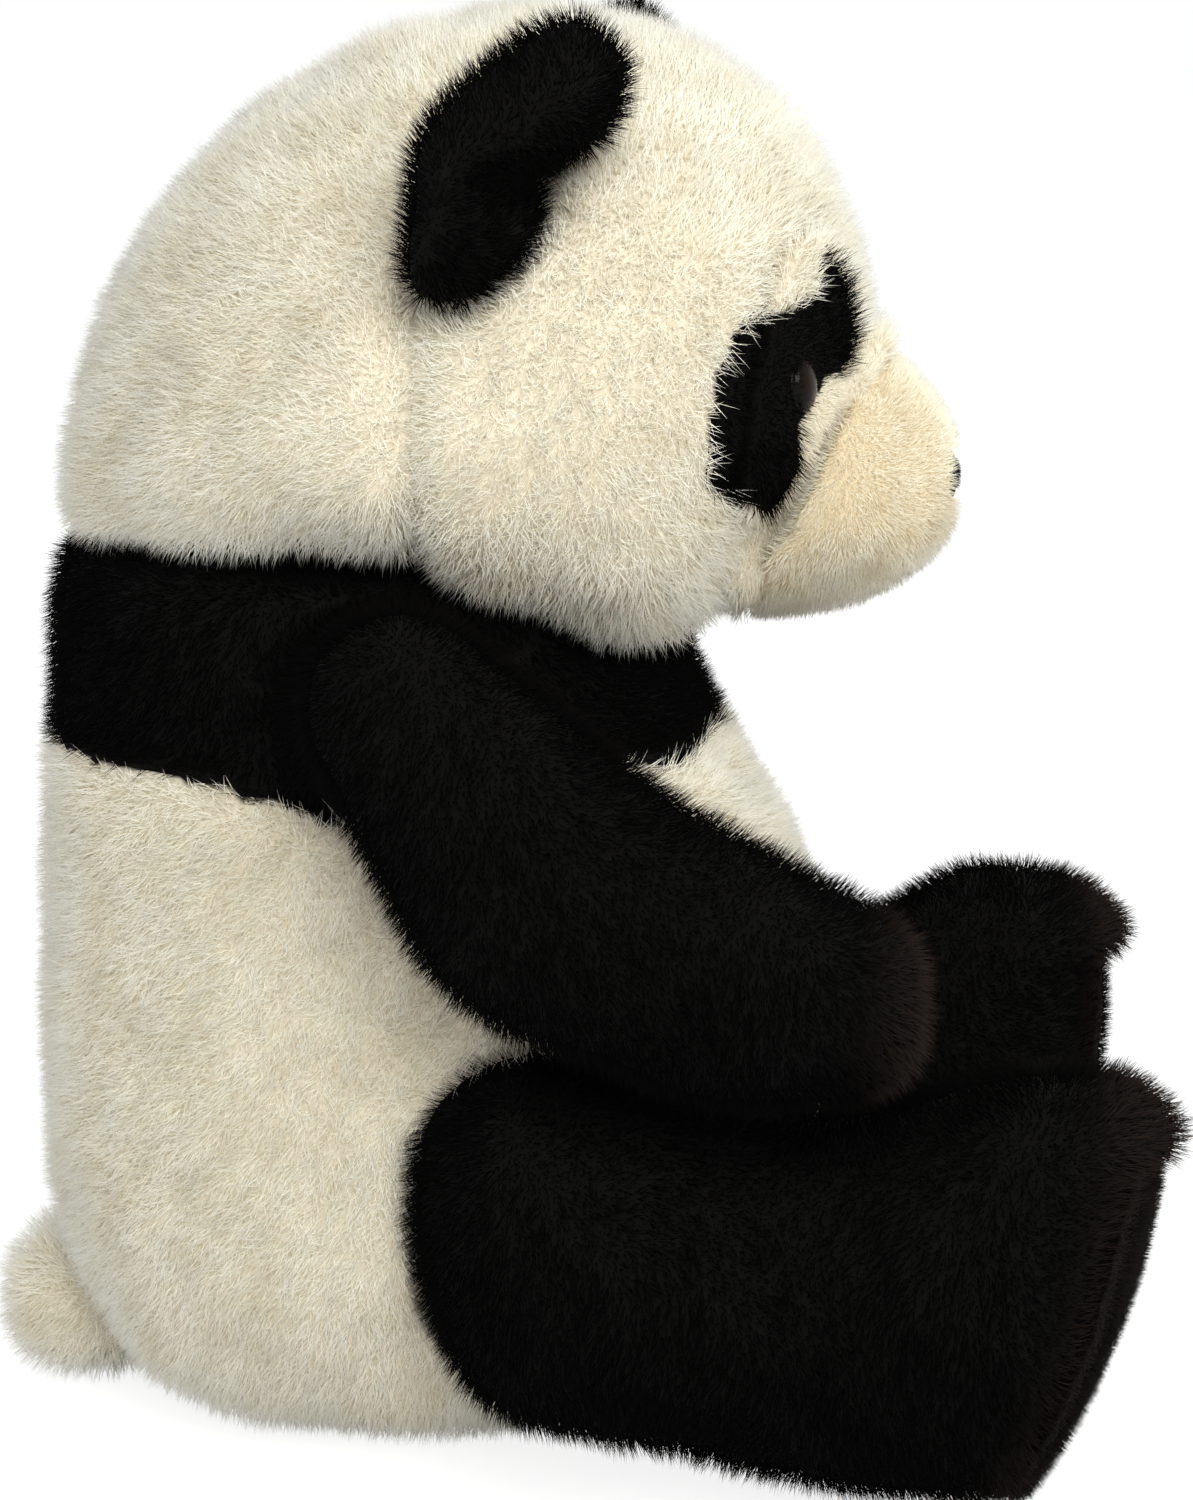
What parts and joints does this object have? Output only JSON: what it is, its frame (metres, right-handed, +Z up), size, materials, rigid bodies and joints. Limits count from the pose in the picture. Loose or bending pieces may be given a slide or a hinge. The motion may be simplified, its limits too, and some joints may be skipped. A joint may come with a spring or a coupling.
{
  "type": "plush panda",
  "caption": "Seated plush panda with a cream head and body, black ears, eye patches, chest, arms and legs, a beige muzzle, and joints at neck, limbs, ears and tail.",
  "frame": {"origin": "on the flat face the toy sits on, under the middle of its depth", "axes": "+Z up, the panda faces -Y, its left side is +X"},
  "size_m": [0.301, 0.3095, 0.366],
  "materials": {
    "cream_plush": "long cream pile",
    "black_plush": "long black pile",
    "beige_plush": "short beige pile",
    "sole_plush": "short brown-black pile",
    "nose_velour": "black velour",
    "stuffing": "loose fibre",
    "eye_gloss": "polished",
    "washer_plastic": "moulded"
  },
  "bodies": {
    "torso": {"lower_body_cover": "cream_plush", "chest_band_cover": "black_plush", "body_filling": "stuffing", "neck_core": "stuffing"},
    "head": {"head_back_cover": "cream_plush", "face_cover": "cream_plush", "head_filling": "stuffing", "muzzle_cover": "beige_plush", "muzzle_filling": "stuffing", "nose": "nose_velour", "eye_patch_left": "black_plush", "eye_patch_right": "black_plush", "eye_left": "eye_gloss", "eye_right": "eye_gloss", "eye_washer_left": "washer_plastic", "eye_washer_right": "washer_plastic"},
    "tail": {"tail_cover": "cream_plush", "tail_filling": "stuffing"},
    "ear_left": {"ear_front_left": "black_plush", "ear_back_left": "black_plush"},
    "arm_left": {"arm_cover_left": "black_plush", "arm_filling_left": "stuffing"},
    "leg_left": {"leg_cover_left": "black_plush", "leg_filling_left": "stuffing", "foot_sole_left": "sole_plush"},
    "ear_right": {"ear_front_right": "black_plush", "ear_back_right": "black_plush"},
    "arm_right": {"arm_cover_right": "black_plush", "arm_filling_right": "stuffing"},
    "leg_right": {"leg_cover_right": "black_plush", "leg_filling_right": "stuffing", "foot_sole_right": "sole_plush"}
  },
  "joints": [
    {"name": "head_turn", "type": "hinge", "parent": "torso", "child": "head", "pos_m": [0, 0.05731, 0.225], "axis": [0, 0, 1], "range_deg": [-18, 18], "stiffness_Nm_per_rad": 0.6},
    {"name": "shoulder_right", "type": "hinge", "parent": "torso", "child": "arm_right", "pos_m": [-0.1235, 0.03931, 0.201], "axis": [-1, 0, 0], "range_deg": [0, 40]},
    {"name": "shoulder_left", "type": "hinge", "parent": "torso", "child": "arm_left", "pos_m": [0.1235, 0.03931, 0.201], "axis": [1, 0, 0], "range_deg": [0, 50]},
    {"name": "hip_right", "type": "hinge", "parent": "torso", "child": "leg_right", "pos_m": [-0.08, -0.016, 0.066], "axis": [0, 0, -1], "range_deg": [-6, 14], "stiffness_Nm_per_rad": 0.4},
    {"name": "hip_left", "type": "hinge", "parent": "torso", "child": "leg_left", "pos_m": [0.08, -0.016, 0.066], "axis": [0, 0, 1], "range_deg": [-6, 14], "stiffness_Nm_per_rad": 0.4},
    {"name": "ear_fold_right", "type": "hinge", "parent": "head", "child": "ear_right", "pos_m": [-0.09264, 0.013, 0.31477], "axis": [0.4299, -0.5998, 0.6748], "range_deg": [-14, 14], "stiffness_Nm_per_rad": 0.15},
    {"name": "ear_fold_left", "type": "hinge", "parent": "head", "child": "ear_left", "pos_m": [0.09264, 0.013, 0.31477], "axis": [0.4299, 0.5998, -0.6748], "range_deg": [-14, 14], "stiffness_Nm_per_rad": 0.15},
    {"name": "tail_lift", "type": "hinge", "parent": "torso", "child": "tail", "pos_m": [0, 0.13184, 0.0205], "axis": [1, 0, 0], "range_deg": [0, 14], "stiffness_Nm_per_rad": 0.02}
  ]
}
